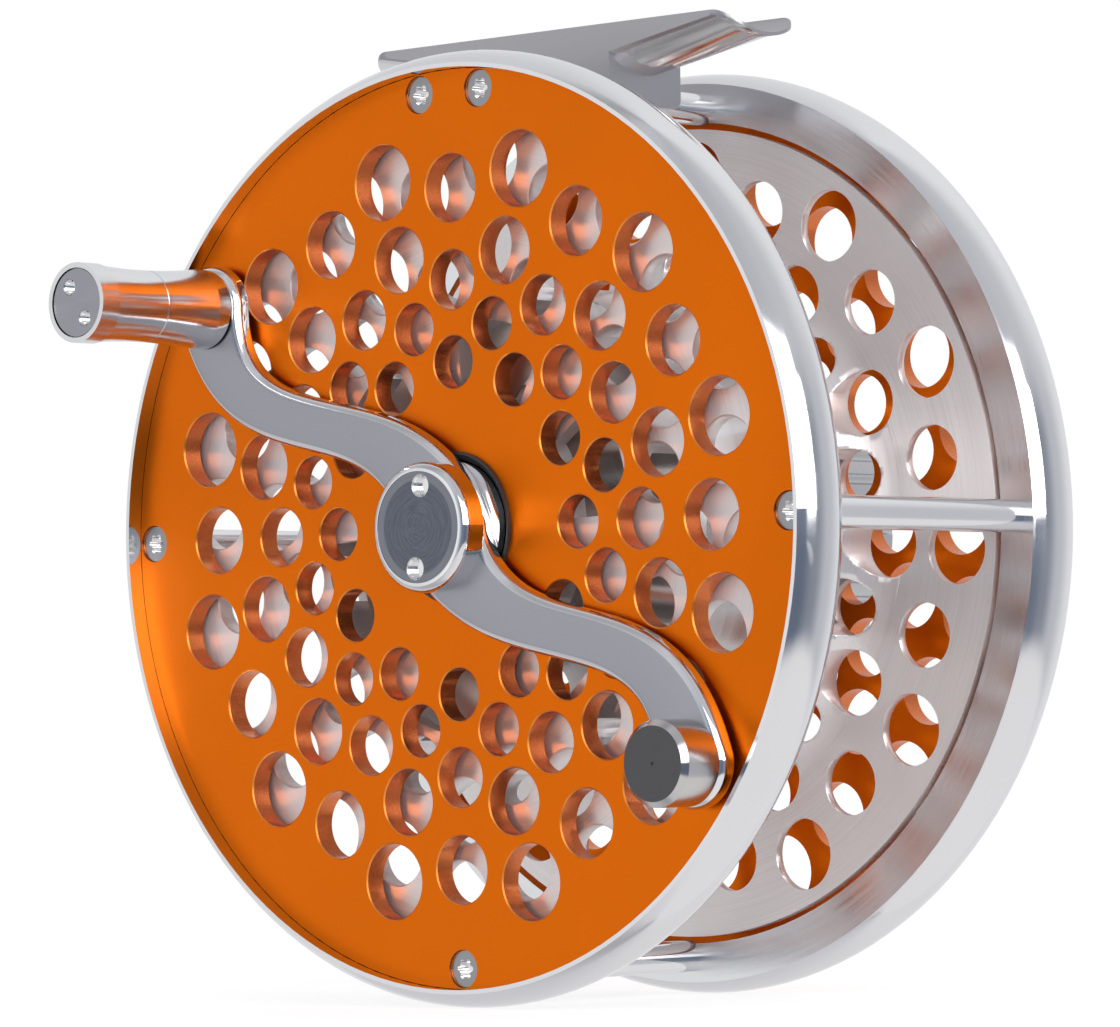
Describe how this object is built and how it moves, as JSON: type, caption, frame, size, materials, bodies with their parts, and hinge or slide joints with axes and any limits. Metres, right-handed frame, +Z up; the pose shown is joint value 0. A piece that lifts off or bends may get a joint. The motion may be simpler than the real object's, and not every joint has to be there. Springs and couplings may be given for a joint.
{
  "type": "fly reel",
  "caption": "Caged fly reel: perforated spool between two drilled orange side plates in polished rings, wound by an S-shaped crank, with a disc drag knob behind and a foot on top.",
  "frame": {"origin": "on the spool axis, halfway between the inner faces of the two spool flanges", "axes": "+Y runs along the spool axis from the crank side to the drag-knob side, +Z points up through the reel foot towards the rod, +X lies along the rod"},
  "size_m": [0.11, 0.0803, 0.1134],
  "materials": {
    "polished_aluminium": "mirror polished, with fine handling scratches",
    "orange_anodised": "satin orange anodised, fine blasted grain",
    "brushed_aluminium": "satin, brushed in circles",
    "blasted_aluminium": "bead-blasted sides, polished underside",
    "screw_steel": "machined stainless steel",
    "dark_steel": "dark, turned in circles",
    "turned_steel": "turned stainless steel",
    "bearing_steel": "ground and polished",
    "spring_steel": "blued spring steel",
    "black_rubber": "smooth, slight sheen",
    "bronze": "sintered bronze",
    "friction_lining": "matt woven friction composite"
  },
  "bodies": {
    "frame": {"front_ring": "polished_aluminium", "front_plate": "orange_anodised", "rear_ring": "polished_aluminium", "rear_plate": "orange_anodised", "cage_pillars": "polished_aluminium", "foot_pillars": "polished_aluminium", "reel_foot": "blasted_aluminium", "foot_set_screws": "dark_steel", "front_plate_screws": "screw_steel", "rear_plate_screws": "screw_steel", "front_seal": "black_rubber", "front_bearing_outer": "bearing_steel", "rear_bearing_outer": "bearing_steel", "click_post": "turned_steel", "click_spring": "spring_steel", "drag_housing": "brushed_aluminium", "drag_housing_screws": "screw_steel", "drag_inner_washer": "friction_lining", "drag_outer_washer": "friction_lining", "pressure_plate": "turned_steel", "drag_spring": "spring_steel"},
    "spool": {"spindle": "screw_steel", "spool_hub": "brushed_aluminium", "spool_front_flange": "brushed_aluminium", "spool_arbor": "brushed_aluminium", "spool_rear_flange": "brushed_aluminium", "crank_collar": "polished_aluminium", "crank_arm": "polished_aluminium", "crank_boss": "polished_aluminium", "crank_nut": "dark_steel", "counterweight": "turned_steel", "handle_pin": "screw_steel", "handle_screw": "screw_steel", "click_gear": "turned_steel", "brake_disc": "turned_steel", "one_way_clutch": "turned_steel", "front_bearing_inner": "bearing_steel", "rear_bearing_inner": "bearing_steel"},
    "handle": {"handle_barrel": "polished_aluminium", "handle_bushes": "bronze", "handle_cap": "brushed_aluminium"},
    "front_balls": {"front_bearing_balls": "bearing_steel"},
    "rear_balls": {"rear_bearing_balls": "bearing_steel"},
    "drag_knob": {"drag_knob": "brushed_aluminium"},
    "click_pawl": {"click_pawl": "turned_steel"}
  },
  "joints": [
    {"name": "spool_spin", "type": "hinge", "parent": "frame", "child": "spool", "pos_m": [0, 0, 0], "axis": [0, 1, 0], "continuous": true},
    {"name": "handle_spin", "type": "hinge", "parent": "spool", "child": "handle", "pos_m": [-0.03762, 0, 0.02733], "axis": [0, 1, 0], "continuous": true},
    {"name": "front_balls_orbit", "type": "hinge", "parent": "frame", "child": "front_balls", "pos_m": [0, 0, 0], "axis": [0, 1, 0], "continuous": true},
    {"name": "rear_balls_orbit", "type": "hinge", "parent": "frame", "child": "rear_balls", "pos_m": [0, 0, 0], "axis": [0, 1, 0], "continuous": true},
    {"name": "drag_knob_turn", "type": "hinge", "parent": "frame", "child": "drag_knob", "pos_m": [0, 0, 0], "axis": [0, 1, 0], "range_deg": [0, 330]},
    {"name": "pawl_rock", "type": "hinge", "parent": "frame", "child": "click_pawl", "pos_m": [0.01336, 0.0185, 0.01336], "axis": [0, 1, 0], "range_deg": [-5, 5]}
  ],
  "couplings": [
    {"joint": "front_balls_orbit", "follows": "spool_spin", "ratio": 0.404},
    {"joint": "rear_balls_orbit", "follows": "spool_spin", "ratio": 0.404}
  ]
}
